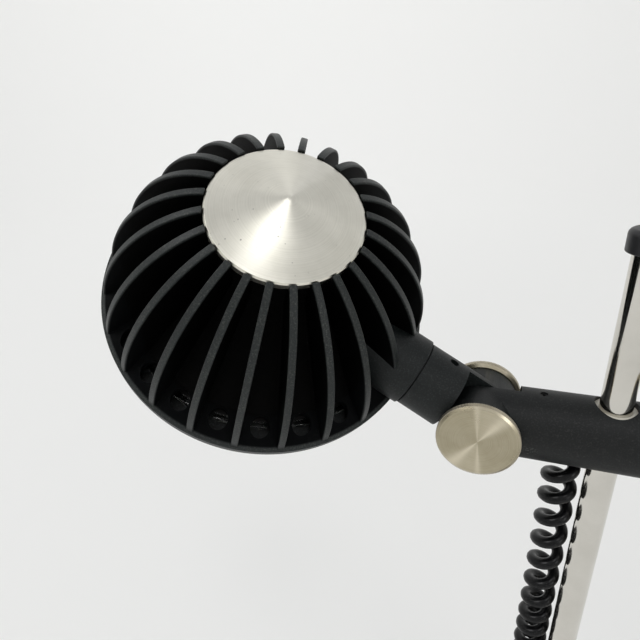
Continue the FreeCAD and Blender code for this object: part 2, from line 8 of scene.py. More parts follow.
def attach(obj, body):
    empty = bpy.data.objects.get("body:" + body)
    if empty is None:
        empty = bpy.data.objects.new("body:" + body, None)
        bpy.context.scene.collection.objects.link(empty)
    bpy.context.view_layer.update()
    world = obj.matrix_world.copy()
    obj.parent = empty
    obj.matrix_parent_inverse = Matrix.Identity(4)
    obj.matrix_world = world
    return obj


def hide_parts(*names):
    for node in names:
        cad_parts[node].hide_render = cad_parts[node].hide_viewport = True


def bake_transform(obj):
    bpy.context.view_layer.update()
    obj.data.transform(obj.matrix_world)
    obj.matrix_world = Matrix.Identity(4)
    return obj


# Drawing office task lamp: finned halogen head on a clamped tilt knuckle, short arm on a chrome
# stem, curly cord and a weighted base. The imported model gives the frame, and this file the looks.
# Sizes in the dictionaries are in millimetres unless a note says otherwise.

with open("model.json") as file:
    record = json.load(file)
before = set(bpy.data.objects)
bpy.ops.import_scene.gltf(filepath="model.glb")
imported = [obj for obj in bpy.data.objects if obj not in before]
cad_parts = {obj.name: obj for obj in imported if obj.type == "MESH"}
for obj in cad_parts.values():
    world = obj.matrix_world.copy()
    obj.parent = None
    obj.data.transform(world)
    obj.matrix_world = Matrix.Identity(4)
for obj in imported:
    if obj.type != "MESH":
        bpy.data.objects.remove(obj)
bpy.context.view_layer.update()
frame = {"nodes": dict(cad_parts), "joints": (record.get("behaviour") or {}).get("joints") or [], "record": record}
print("frame loaded:", len(frame["nodes"]), "nodes")

mm = 0.001
joints = {joint["name"]: joint for joint in frame["joints"]}
pivot = Vector(joints["head_tilt"]["pos_m"])
neckAxis = Vector(joints["head_roll"]["axis"])

place = {
    "neckReach": 92.0,       # tilt pivot to the head's axis
    "neckDrop": 42.85,       # disc's top down to the neck's axis
    "headRoll": 32.4,        # degrees about the neck
    "armReach": -pivot.x / mm,
}
tilt = math.atan2(-neckAxis.z, neckAxis.x)
scaled = Matrix.Scale(mm, 4)
armPlace = Matrix.Translation(pivot) @ scaled
knucklePlace = Matrix.Translation(pivot) @ Matrix.Rotation(tilt, 4, "Y") @ scaled
headPlace = (knucklePlace @ Matrix.Translation((-place["neckReach"], 0, 0))
             @ Matrix.Rotation(math.radians(place["headRoll"]), 4, "X")
             @ Matrix.Translation((0, 0, place["neckDrop"])))
alongX = Matrix.Rotation(math.radians(90), 4, "Y")       # turns +Z to +X
towardsNear = Matrix.Rotation(math.radians(90), 4, "X")  # turns +Z to -Y
towardsFar = Matrix.Rotation(math.radians(-90), 4, "X")  # turns +Z to +Y
towardsBack = Matrix(((-1, 0, 0), (0, 0, 1), (0, 1, 0))).to_4x4()   # z along +Y, y upwards


# Camera first: what the lamp is looked at from, in metres and degrees.
view = {
    "location": (-0.0414, -0.1636, 0.5087),
    "right": (0.9411, 0.3355, -0.0421),
    "up": (-0.0995, 0.3937, 0.9138),
    "lens": 28.22,
}


def makeCamera():
    data = bpy.data.cameras.new("camera")
    data.lens = view["lens"]
    data.sensor_width = 36.0
    data.clip_start = 0.01
    data.clip_end = 50.0
    data.dof.use_dof = False
    camera = bpy.data.objects.new("camera", data)
    right = Vector(view["right"]).normalized()
    up = Vector(view["up"])
    up = (up - right * up.dot(right)).normalized()
    turn = Matrix((right, up, right.cross(up))).transposed()
    camera.matrix_world = Matrix.Translation(view["location"]) @ turn.to_4x4()
    bpy.context.scene.collection.objects.link(camera)
    bpy.context.scene.camera = camera


# --- small tools for meshes and nodes

def hexToLinear(text):
    parts = [int(text[i:i + 2], 16) / 255 for i in (0, 2, 4)]
    return [c / 12.92 if c <= 0.04045 else ((c + 0.055) / 1.055) ** 2.4 for c in parts] + [1.0]


def addNode(tree, kind, inputs=None, **settings):
    node = tree.nodes.new(kind)
    for key, value in settings.items():
        setattr(node, key, value)
    for key, value in (inputs or {}).items():
        if isinstance(value, bpy.types.NodeSocket):
            tree.links.new(value, node.inputs[key])
        else:
            node.inputs[key].default_value = value
    return node


def compute(tree, operation, *values, **settings):
    settings["operation"] = operation
    return addNode(tree, "ShaderNodeMath", dict(enumerate(values)), **settings).outputs[0]


def ranged(tree, value, low, high, start=0.0, end=1.0):
    # start to end of the value becomes low to high
    return addNode(tree, "ShaderNodeMapRange", {
        "Value": value, "From Min": start, "From Max": end,
        "To Min": low, "To Max": high}).outputs[0]


def mixed(tree, share, first, second):
    # each colour is a hex text or a socket
    first, second = (hexToLinear(c) if isinstance(c, str) else c for c in (first, second))
    return addNode(tree, "ShaderNodeMix", {0: share, 6: first, 7: second},
                   data_type="RGBA").outputs[2]


def clouded(tree, coords, size, detail=3.0, roughness=0.6):
    # noise with spots of about size mm
    return addNode(tree, "ShaderNodeTexNoise", {
        "Vector": coords, "Scale": 1 / (size * mm), "Detail": detail,
        "Roughness": roughness}).outputs[0]


def rounded(corners, steps=4):
    # (radius, z, round) corners; each corner with a round becomes an arc
    points = []
    last = len(corners) - 1
    for i, corner in enumerate(corners):
        here = Vector(corner[:2])
        size = corner[2] if len(corner) > 2 else 0.0
        if size == 0 or i in (0, last):
            points.append(here)
            continue
        before = Vector(corners[i - 1][:2]) - here
        after = Vector(corners[i + 1][:2]) - here
        half = before.angle(after) / 2
        back = min(size / math.tan(half), 0.45 * before.length, 0.45 * after.length)
        size = back * math.tan(half)
        bisector = (before.normalized() + after.normalized()).normalized()
        centre = here + bisector * (size / math.sin(half))
        first = here + before.normalized() * back - centre
        final = here + after.normalized() * back - centre
        sweep = first.angle_signed(final)
        for k in range(steps + 1):
            turned = first.copy()
            turned.rotate(Matrix.Rotation(-sweep * k / steps, 2))
            points.append(centre + turned)
    return [(p.x, p.y) for p in points]


def lathe(bm, outline, where, segments=96, ring=False):
    # revolves (radius, z) points about Z; poles close a solid, ring closes a loop of points
    rows = []
    for radius, z in outline:
        if radius < 1e-6:
            rows.append([bm.verts.new(where @ Vector((0, 0, z)))])
            continue
        row = []
        for k in range(segments):
            angle = 2 * math.pi * k / segments
            spot = Vector((radius * math.cos(angle), radius * math.sin(angle), z))
            row.append(bm.verts.new(where @ spot))
        rows.append(row)
    pairs = list(zip(rows, rows[1:]))
    if ring:
        pairs.append((rows[-1], rows[0]))
    made = []
    for low, high in pairs:
        for k in range(segments):
            m = (k + 1) % segments
            if len(low) == 1:
                made.append(bm.faces.new((low[0], high[m], high[k])))
            elif len(high) == 1:
                made.append(bm.faces.new((low[k], low[m], high[0])))
            else:
                made.append(bm.faces.new((low[k], low[m], high[m], high[k])))
    bmesh.ops.recalc_face_normals(bm, faces=made)
    return made


def slab(bm, outline, low, high, where, bevel=0.0):
    # straight solid on an (x, y) outline, from z = low to high, with rounded edges
    under = [bm.verts.new(Vector((x, y, low))) for x, y in outline]
    over = [bm.verts.new(Vector((x, y, high))) for x, y in outline]
    faces = [bm.faces.new(under[::-1]), bm.faces.new(over)]
    count = len(outline)
    for i in range(count):
        j = (i + 1) % count
        faces.append(bm.faces.new((under[i], under[j], over[j], over[i])))
    bmesh.ops.recalc_face_normals(bm, faces=faces)
    verts = under + over
    if bevel > 0:
        edges = list({e for f in faces for e in f.edges if e.calc_face_angle(0) > math.radians(30)})
        made = bmesh.ops.bevel(bm, geom=edges, offset=bevel, segments=3, profile=0.5,
                               affect="EDGES", clamp_overlap=True)
        verts = list({v for v in verts if v.is_valid} | set(made["verts"]))
    bmesh.ops.transform(bm, matrix=where, verts=verts)


def rectangle(width, depth, x=0.0, y=0.0):
    a, b = width / 2, depth / 2
    return [(x - a, y - b), (x + a, y - b), (x + a, y + b), (x - a, y + b)]


def circle(radius, count):
    angles = [math.radians(360.0 * k / count) for k in range(count)]
    return [(radius * math.cos(a), radius * math.sin(a)) for a in angles]


def makeObject(name, bm, material):
    mesh = bpy.data.meshes.new(name)
    bm.to_mesh(mesh)
    bm.free()
    piece = bpy.data.objects.new(name, mesh)
    bpy.context.scene.collection.objects.link(piece)
    if material:
        mesh.materials.append(material)
    return piece


def settle(piece):
    # turns the modifiers' result into the piece's own plain mesh
    graph = bpy.context.evaluated_depsgraph_get()
    mesh = bpy.data.meshes.new_from_object(piece.evaluated_get(graph))
    old = piece.data
    piece.modifiers.clear()
    piece.data = mesh
    bpy.data.meshes.remove(old)
    mesh.name = piece.name
    return piece


def smooth(piece, degrees=38):
    piece.data.shade_smooth()
    piece.data.set_sharp_from_angle(angle=math.radians(degrees))
    weights = piece.modifiers.new("faceWeights", "WEIGHTED_NORMAL")
    weights.keep_sharp = True
    return settle(piece)


def cutWith(piece, cutter, operation="DIFFERENCE"):
    cut = piece.modifiers.new("cut", "BOOLEAN")
    cut.operation = operation
    cut.solver = "EXACT"
    cut.object = cutter
    settle(piece)
    bpy.data.objects.remove(cutter)


def cutSlab(piece, outline, low, high, where):
    bm = bmesh.new()
    slab(bm, outline, low, high, where)
    cutWith(piece, makeObject("cutter", bm, None))


def joinPieces(name, pieces):
    bm = bmesh.new()
    materials = []
    for piece in pieces:
        offset = len(bm.faces)
        bm.from_mesh(piece.data)
        bm.faces.ensure_lookup_table()
        for face in bm.faces[offset:]:
            face.material_index = len(materials)
        materials.append(piece.data.materials[0])
    joined = makeObject(name, bm, None)
    for material in materials:
        joined.data.materials.append(material)
    for piece in pieces:
        bpy.data.objects.remove(piece)
    return joined


def give(piece, body, slotName, *nodes):
    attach(piece, body)
    if nodes:
        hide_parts(*nodes)


def givePiece(name, bm, material, body, slotName, node):
    give(smooth(makeObject(name, bm, coat[material])), body, slotName, node)


def giveTurned(name, outline, where, segments, material, body, slotName, node, ring=False):
    bm = bmesh.new()
    lathe(bm, outline, where, segments, ring)
    givePiece(name, bm, material, body, slotName, node)


# --- Geometry Nodes: copies of one shape round the Z axis, for fins, knurls, holes and screws

def makeRoundPattern():
    tree = bpy.data.node_groups.new("roundPattern", "GeometryNodeTree")
    face = tree.interface
    face.new_socket("Geometry", in_out="INPUT", socket_type="NodeSocketGeometry")
    face.new_socket("Count", in_out="INPUT", socket_type="NodeSocketInt")
    face.new_socket("First Angle", in_out="INPUT", socket_type="NodeSocketFloat")
    face.new_socket("Step Angle", in_out="INPUT", socket_type="NodeSocketFloat")
    face.new_socket("Material", in_out="INPUT", socket_type="NodeSocketMaterial")
    face.new_socket("Geometry", in_out="OUTPUT", socket_type="NodeSocketGeometry")
    given = addNode(tree, "NodeGroupInput")
    points = addNode(tree, "GeometryNodePoints", {"Count": given.outputs["Count"]})
    index = addNode(tree, "GeometryNodeInputIndex")
    angle = addNode(tree, "ShaderNodeMath", {
        0: index.outputs[0], 1: given.outputs["Step Angle"],
        2: given.outputs["First Angle"]}, operation="MULTIPLY_ADD")
    turn = addNode(tree, "FunctionNodeAxisAngleToRotation", {
        "Axis": (0, 0, 1), "Angle": angle.outputs[0]})
    copies = addNode(tree, "GeometryNodeInstanceOnPoints", {
        "Points": points.outputs[0], "Instance": given.outputs["Geometry"],
        "Rotation": turn.outputs[0]})
    real = addNode(tree, "GeometryNodeRealizeInstances", {0: copies.outputs[0]})
    painted = addNode(tree, "GeometryNodeSetMaterial", {
        "Geometry": real.outputs[0], "Material": given.outputs["Material"]})
    addNode(tree, "NodeGroupOutput", {0: painted.outputs[0]})
    return tree


roundPattern = makeRoundPattern()


def repeatRound(piece, count, first, step, material, where):
    # count copies from the angle first, step degrees apart, then moved into place
    modifier = piece.modifiers.new("roundPattern", "NODES")
    modifier.node_group = roundPattern
    ids = {s.name: s.identifier for s in roundPattern.interface.items_tree if s.in_out == "INPUT"}
    modifier[ids["Count"]] = count
    modifier[ids["First Angle"]] = math.radians(first)
    modifier[ids["Step Angle"]] = math.radians(step)
    modifier[ids["Material"]] = material
    settle(piece)
    piece.data.transform(where)


# --- materials

def startMaterial(name):
    material = bpy.data.materials.new(name)
    material.use_nodes = True
    tree = material.node_tree
    shader = tree.nodes["Principled BSDF"]
    coords = addNode(tree, "ShaderNodeTexCoord").outputs["Object"]
    return material, tree, shader, coords


def link(tree, source, shader, name):
    tree.links.new(source, shader.inputs[name])


def finishMaterial(tree, shader, colour, rough, height, strength, relief):
    bump = addNode(tree, "ShaderNodeBump", {
        "Strength": strength, "Distance": relief * mm, "Height": height})
    link(tree, colour, shader, "Base Color")
    link(tree, rough, shader, "Roughness")
    link(tree, bump.outputs[0], shader, "Normal")


def localAxes(tree, coords, where):
    # the place in where's own mm frame, its three axes and its distance from the Z axis
    inverse = where.inverted()
    local = addNode(tree, "ShaderNodeMapping", {
        "Vector": coords, "Location": inverse.translation,
        "Rotation": inverse.to_quaternion().to_euler(), "Scale": (1000, 1000, 1000)}).outputs[0]
    axes = addNode(tree, "ShaderNodeSeparateXYZ", {0: local}).outputs
    flat = addNode(tree, "ShaderNodeCombineXYZ", {0: axes[0], 1: axes[1]})
    reach = addNode(tree, "ShaderNodeVectorMath", {0: flat.outputs[0]}, operation="LENGTH")
    return local, axes, reach.outputs["Value"]


def distanceTo(tree, coords, point):
    return addNode(tree, "ShaderNodeVectorMath", {0: coords, 1: point},
                   operation="DISTANCE").outputs["Value"]


def makePowderCoat(name, dark, light, grain=0.55, relief=0.035, rub=0.55, patch=None):
    # Epoxy powder coat on a casting: matt, pebbled, rubbed lighter in small spots.
    # Real grit is about 0.2 mm; it is drawn at grain mm so that it shows.
    material, tree, shader, coords = startMaterial(name)
    pebbles = clouded(tree, coords, grain, 2.0, 0.55)
    clouds = clouded(tree, coords, 9)
    spots = ranged(tree, pebbles, 0.0, rub, 0.52, 0.72)
    amount = compute(tree, "MULTIPLY", spots, clouds)
    if patch:
        # a lighter place on the surface, round about a point in metres
        away = distanceTo(tree, coords, patch["at"])
        near = ranged(tree, away, patch["weight"], 0.0, 0.0, patch["size"] * mm)
        amount = compute(tree, "ADD", amount, compute(tree, "MULTIPLY", near, spots),
                         use_clamp=True)
    finishMaterial(tree, shader, mixed(tree, amount, dark, light),
                   ranged(tree, clouds, 0.42, 0.6), pebbles, 0.6, relief)
    shader.inputs["Specular IOR Level"].default_value = 0.32
    return material


def makeFinCoat(name, dark, light, edge, flange, fin):
    # The same coat on the fins. Their outer edges are lighter, partly rubbed wear and partly painted highlight;
    # the bays between them and the core are painted near black as shade, and the flange a little lighter as
    # painted light.
    material, tree, shader, coords = startMaterial(name)
    axes, reach = localAxes(tree, coords, headPlace)[1:]
    across = compute(tree, "SUBTRACT", reach, fin["arcCentre"])
    across = compute(tree, "DIVIDE", across, fin["arcRadius"])
    above = compute(tree, "ADD", axes[2], fin["arcHeight"] - fin["proud"])
    above = compute(tree, "DIVIDE", above, fin["arcHeight"])
    powers = [compute(tree, "POWER", compute(tree, "ABSOLUTE", axis), fin["fullness"])
              for axis in (across, above)]
    onWornAndLitEdge = ranged(tree, compute(tree, "ADD", *powers), 0.0, 1.0, *fin["edgeWearAndHighlightBand"])
    onLitFlange = ranged(tree, reach, 0.0, 1.0, *fin["litFlangeBand"])
    pebbles = clouded(tree, coords, 0.55, 2.0, 0.55)
    clouds = clouded(tree, coords, 11)
    wear = compute(tree, "MULTIPLY", ranged(tree, pebbles, 0.0, 0.7, 0.5, 0.75), clouds)
    rubbed = compute(tree, "MULTIPLY", wear, onWornAndLitEdge)
    # painted shade: near black bays and core; the flange and the edges lighter as painted light
    body = mixed(tree, onWornAndLitEdge, mixed(tree, onLitFlange, dark, flange), edge)
    finishMaterial(tree, shader, mixed(tree, rubbed, body, light),
                   ranged(tree, onWornAndLitEdge, 0.62, 0.46), pebbles, 0.7, 0.05)
    link(tree, ranged(tree, onWornAndLitEdge, 0.04, 0.3), shader, "Specular IOR Level")
    return material


def makeTurnedMetal(name, where, spec):
    # Metal faced on a lathe. Fine rings of tool marks round the axis stretch each highlight into
    # a bow tie; that bow tie is also painted into the colour as lighter streaks round the axis: painted
    # highlights.
    material, tree, shader, coords = startMaterial(name)
    local, axes, reach = localAxes(tree, coords, where)
    rings = addNode(tree, "ShaderNodeTexNoise", {
        "W": reach, "Scale": 1 / spec["lines"], "Detail": 2.0, "Roughness": 0.6},
        noise_dimensions="1D").outputs[0]
    smudge = clouded(tree, coords, 9)
    both = addNode(tree, "ShaderNodeMix", {0: 0.6, 2: rings, 3: smudge}, data_type="FLOAT")
    tone = ranged(tree, both.outputs[0], spec["tone"] - spec["marks"],
                  spec["tone"] + spec["marks"], 0.3, 0.7)
    angle = compute(tree, "ARCTAN2", axes[1], axes[0])
    # painted highlights: each streak lightens the tone at one angle round the axis
    for degrees, sharp, weight in spec["paintedHighlights"]:
        highlightStreak = compute(tree, "SUBTRACT", angle, math.radians(degrees))
        highlightStreak = compute(tree, "ABSOLUTE", compute(tree, "COSINE", highlightStreak))
        highlightStreak = compute(tree, "POWER", highlightStreak, sharp)
        tone = compute(tree, "MULTIPLY_ADD", highlightStreak, weight, tone)
    colour = mixed(tree, tone, spec["dark"], spec["light"])
    if "nicked" in spec:
        # small dents and scratches, thickest round one place on the face
        near = ranged(tree, distanceTo(tree, local, spec["nicked"]), 0.8, 0.12, 3.0, 15.0)
        cells = addNode(tree, "ShaderNodeTexVoronoi", {
            "Vector": local, "Scale": 0.3, "Randomness": 1.0}, feature="F1")
        dots = ranged(tree, cells.outputs["Distance"], 1.0, 0.0, 0.05, 0.1)
        colour = mixed(tree, compute(tree, "MULTIPLY", dots, near), colour, "5f574e")
    finishMaterial(tree, shader, colour,
                   ranged(tree, smudge, spec["rough"] - 0.05, spec["rough"] + 0.07),
                   rings, 0.12, 0.01)
    tangent = addNode(tree, "ShaderNodeTangent", direction_type="UV_MAP", uv_map="turned")
    link(tree, tangent.outputs[0], shader, "Tangent")
    shader.inputs["Metallic"].default_value = 1.0
    shader.inputs["Anisotropic"].default_value = 0.8
    return material


discFinish = {
    "dark": "cfccbd", "light": "fdfaee", "tone": 0.58, "marks": 0.2, "lines": 0.45, "rough": 0.3,
    "paintedHighlights": [(276.0, 70.0, 0.2), (266.0, 260.0, 0.1)],   # painted highlights: degrees, sharpness, weight
    "nicked": (0.0, -17.0, 2.0),
}
knobFinish = {
    "dark": "91886f", "light": "e2d9c3", "tone": 0.26, "marks": 0.14, "lines": 0.3, "rough": 0.28,
    # painted highlights: degrees, sharpness, weight
    "paintedHighlights": [(95.0, 260.0, 0.3), (52.0, 60.0, 0.45), (75.0, 9.0, 0.18)],
}


def makeSimple(name, base, second, rough, metal=0.0, grain=2.0, relief=0.01, **sockets):
    # Any plain finish: two near tones in soft clouds, a fine relief and its own gloss.
    material, tree, shader, coords = startMaterial(name)
    clouds = clouded(tree, coords, grain, 4.0)
    finishMaterial(tree, shader, mixed(tree, clouds, base, second),
                   ranged(tree, clouds, max(0.0, rough - 0.05), rough + 0.08),
                   clouds, 0.3, relief)
    shader.inputs["Metallic"].default_value = metal
    for key, value in sockets.items():
        shader.inputs[key.replace("_", " ")].default_value = value
    return material


fin = {
    "count": 24, "thick": 2.4,
    "arcCentre": 18.4, "arcRadius": 44.0, "arcHeight": 60.6, "proud": 1.85, "fullness": 1.78,
    "startRadius": 25.4, "rimDrop": 52.5, "foot": 56.3, "edgeRound": 0.35,
    "edgeWearAndHighlightBand": (0.966, 0.99),      # share of the oval where the lighter edge, rubbed wear and painted highlight, begins and is full
    "litFlangeBand": (51.8, 52.6),     # from the axis, where the flange's lighter tone, painted light, sets in
}

armPatch = {"at": tuple(pivot + Vector((17.0, -11.9, -3.7)) * mm), "size": 3.4,
         "weight": 4.0}

coat = {
    # cast aluminium under black powder: the matt, pebbled neck and knuckle
    "powder": makePowderCoat("powderCoatedAluminium", "0c1111", "464c4b", relief=0.05),
    # the same powder, smoother, and darker as painted shade, with one lighter place
    "arm": makePowderCoat("powderCoatedArmShaded", "080b0b", "5a5c58", relief=0.05, rub=0.25, patch=armPatch),
    # cast iron under a coarser black powder: a dull, heavy foot
    "base": makePowderCoat("powderCoatedIron", "101213", "2e3130", grain=0.8),
    # powder on the fins: lighter edges, rubbed wear and painted highlight, over bays painted near black as shade
    "fins": makeFinCoat("powderCoatedFins", "010101", "62655e", "1d2121", "040506", fin),
    # bare aluminium faced on a lathe: a pale bow tie that turns with the light, with painted highlight streaks
    # added
    "disc": makeTurnedMetal("turnedAluminium", headPlace, discFinish),
    # nickelled brass faced on a lathe: a warmer, darker bow tie, with painted highlight streaks added
    "nearKnob": makeTurnedMetal("turnedNickelBrassNear", armPlace @ towardsNear, knobFinish),
    "farKnob": makeTurnedMetal("turnedNickelBrassFar", knucklePlace @ towardsFar, knobFinish),
    "rearKnob": makeTurnedMetal("turnedNickelBrassRear", armPlace @ alongX, knobFinish),
    # the same nickel cut into ridges: glints round the rim
    "knurl": makeSimple("knurledNickelBrass", "c9c1af", "a79f8e", 0.42, metal=1.0),
    # polished chrome plate: a clean mirror with hard edges of light
    "chrome": makeSimple("chromedSteel", "dedbd4", "c9c6be", 0.1, metal=1.0, grain=12, relief=0.002),
    # zinc plate: soft grey metal on screws
    "steel": makeSimple("zincPlatedSteel", "9d9c98", "7d7c79", 0.35, metal=1.0),
    # oxidised steel: dark metal in the set screws, and painted shade on the bowl's back
    "darkSteelAndShade": makeSimple("blackOxideSteelAndShade", "1b1b1c", "2b2a29", 0.4, metal=0.6),
    # bare brass: yellow metal
    "brass": makeSimple("turnedBrass", "b5924e", "9a7a3e", 0.3, metal=1.0),
    # nylon: waxy off-white bushes and washers
    "nylon": makeSimple("mouldedNylon", "d8d4c9", "c8c4b8", 0.45),
    # vinyl sheath: black with a wet highlight along each turn
    "cord": makeSimple("glossyVinyl", "050506", "09090b", 0.34, grain=5, relief=0.02,
                       Specular_IOR_Level=0.14, Coat_Weight=0.22, Coat_Roughness=0.06),
    # rubber: dull, slightly rough black
    "rubber": makeSimple("mouldedRubber", "151515", "202020", 0.7, grain=0.8, relief=0.03),
    # moulded plastic: black with a soft sheen
    "plastic": makeSimple("mouldedAbs", "141416", "1c1c1f", 0.42, grain=0.7, relief=0.015),
    # steatite: chalky warm white
    "ceramic": makeSimple("firedSteatite", "e9e4d8", "d9d3c5", 0.55, grain=1.0),
    # spun and polished aluminium: a bright, slightly wavy bowl
    "mirror": makeSimple("spunAluminiumReflector", "e6e6e2", "d9d9d4", 0.12, metal=1.0, grain=8,
                         relief=0.05),
    # clear heat-proof glass: seen by its reflections
    "glass": makeSimple("borosilicateGlass", "f2f7f5", "ecf3f0", 0.05, grain=20,
                        Transmission_Weight=1.0, IOR=1.47),
    # quartz: a clear bulb with bright edges
    "quartz": makeSimple("quartzGlass", "f6f8f8", "eef2f2", 0.05, grain=20,
                         Transmission_Weight=1.0, IOR=1.46),
    # raw cast iron: rough dark grey
    "iron": makeSimple("roughCastIron", "3b3936", "4b4844", 0.7, metal=0.5, relief=0.08),
    # stacked steel sheet: plain mid grey
    "lamination": makeSimple("siliconSteel", "6c6b69", "585755", 0.45, metal=0.9),
    # polyester tape: yellow, half glossy
    "tape": makeSimple("polyesterTape", "c4a33c", "ad8c2c", 0.35),
    # urethane foam: grey, fully matt
    "foam": makeSimple("urethaneFoam", "4e4f52", "5c5d60", 0.9, grain=1.0, relief=0.1),
    # drawn tungsten: a thin grey wire
    "tungsten": makeSimple("tungstenWire", "77767a", "5e5d61", 0.3, metal=1.0),
}

slotCoat = {
    "black_casting": "powder", "black_base": "base", "turned_aluminium": "disc", "nickel_knob": "knurl",
    "polished_reflector": "mirror", "clear_glass": "glass", "quartz_glass": "quartz",
    "white_ceramic": "ceramic", "zinc_steel": "steel", "chrome_tube": "chrome",
    "black_cord": "cord", "black_rubber": "rubber", "black_plastic": "plastic",
    "brass_part": "brass", "nylon_part": "nylon", "iron_ballast": "iron",
    "transformer_steel": "lamination", "winding_tape": "tape", "grey_foam": "foam",
}


def coatCadNodes():
    slots = {part["node"]: part["material_slot"] for part in frame["record"]["subparts"]}
    for name, node in frame["nodes"].items():
        material = coat[slotCoat[slots[name]]]
        node.data.materials.clear()
        node.data.materials.append(material)


# --- curly cord: helix round the route's own smooth line

curlyCord = {
    "route": [(-0.0124, 0.0020, 0.3871), (-0.0120, 0.0032, 0.342), (-0.0114, 0.0052, 0.292),
              (-0.0112, 0.0066, 0.235), (-0.0116, 0.0062, 0.172), (-0.0122, 0.0038, 0.115),
              (-0.0124, 0.0020, 0.0650)],
    "thick": 4.4, "coilRadius": 4.5,
    # turn by turn from the top: the upper turns carry the rest and open up
    "pitches": (9.4, 11.9, 11.5, 11.9, 12.0, 11.2, 9.7, 8.7, 9.1, 8.5, 8.3, 8.1, 7.9, 7.7, 7.5),
    "firstTurn": 9.1,                        # gland to the first turn's left side
    "leftAngle": 199.6,                      # degrees, that side seen from above
    "pointsPerTurn": 14, "tail": 5.0,
    "straight": 1.2, "leadIn": 0.62,         # mm at each end, and turns before the first left side
}


def curveMesh(points, thick=0.0):
    # a smooth line along the points, or a closed tube round it
    data = bpy.data.curves.new("line", "CURVE")
    data.dimensions = "3D"
    spline = data.splines.new("NURBS")
    spline.points.add(len(points) - 1)
    for point, spot in zip(spline.points, points):
        point.co = (*spot, 1.0)
    spline.order_u = 3
    spline.use_endpoint_u = True
    spline.resolution_u = 4
    data.bevel_depth = thick / 2
    data.bevel_resolution = 4
    data.use_fill_caps = thick > 0
    piece = bpy.data.objects.new("line", data)
    bpy.context.scene.collection.objects.link(piece)
    graph = bpy.context.evaluated_depsgraph_get()
    mesh = bpy.data.meshes.new_from_object(piece.evaluated_get(graph))
    bpy.data.objects.remove(piece)
    bm = bmesh.new()
    bm.from_mesh(mesh)
    bpy.data.meshes.remove(mesh)
    return bm


def curvePoints(points):
    bm = curveMesh(points)
    spots = [v.co.copy() for v in bm.verts]
    bm.free()
    return spots


def makeCurlyCord():
    spec = curlyCord
    straight = spec["straight"]
    line = curvePoints(spec["route"])
    reach = [0.0]
    for a, b in zip(line, line[1:]):
        reach.append(reach[-1] + (b - a).length / mm)
    total = reach[-1]

    def along(distance):
        distance = min(max(distance, 0.0), total)
        k = next(i for i in range(1, len(line)) if reach[i] >= distance - 1e-9)
        share = (distance - reach[k - 1]) / (reach[k] - reach[k - 1])
        return line[k - 1].lerp(line[k], share)

    helix = [along(0.0), along(straight / 2)]
    pitches = spec["pitches"]
    turn = -spec["leadIn"]
    distance = straight
    step = 1 / spec["pointsPerTurn"]
    while distance < total - straight:
        spread = min(1.0, distance / spec["tail"], (total - distance) / spec["tail"])
        radius = spec["coilRadius"] * math.sin(math.pi / 2 * spread)
        angle = math.radians(spec["leftAngle"] - 360 * turn)
        around = Vector((math.cos(angle), math.sin(angle), 0)) * radius * mm
        helix.append(along(distance) + around)
        spot = min(max(turn - 0.5, 0.0), len(pitches) - 1.001)
        low, high = pitches[int(spot)], pitches[int(spot) + 1]
        pitch = low + (high - low) * (spot - int(spot))
        if turn < 0:
            pitch = (spec["firstTurn"] - straight) / spec["leadIn"]
        distance += pitch * step
        turn += step
    helix += [along(total - straight / 2), along(total)]

    path = [tuple(spot) for spot in curvePoints(helix)]
    bm = curveMesh(helix, spec["thick"] * mm)
    bmesh.ops.remove_doubles(bm, verts=bm.verts, dist=1e-7)
    piece = makeObject("curlyCord", bm, coat["cord"])
    piece.data.shade_smooth()
    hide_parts("curly_cord")
    length = sum(math.dist(a, b) for a, b in zip(path, path[1:]))
    print("curly cord:", round(turn, 1), "turns,", round(length, 3), "m")
    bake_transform(piece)


# --- head

shell = {
    "crown": 24.6, "crownTop": 3.0, "crownDrop": 12.0,
    "flangeInner": 51.5, "flangeDrop": 44.0, "rim": 62.4, "lip": 62.8,
    "rimDrop": 52.5, "bottom": 56.8, "wall": 3.0, "cavity": 60.0, "lipDrop": 53.9,
    "ventRadius": 3.4, "ventCircle": 55.3,
    "bossRadius": 13.2, "bossStart": 38.0, "bossEnd": 63.25, "bossBore": 8.0, "bossRound": 0.25,
}


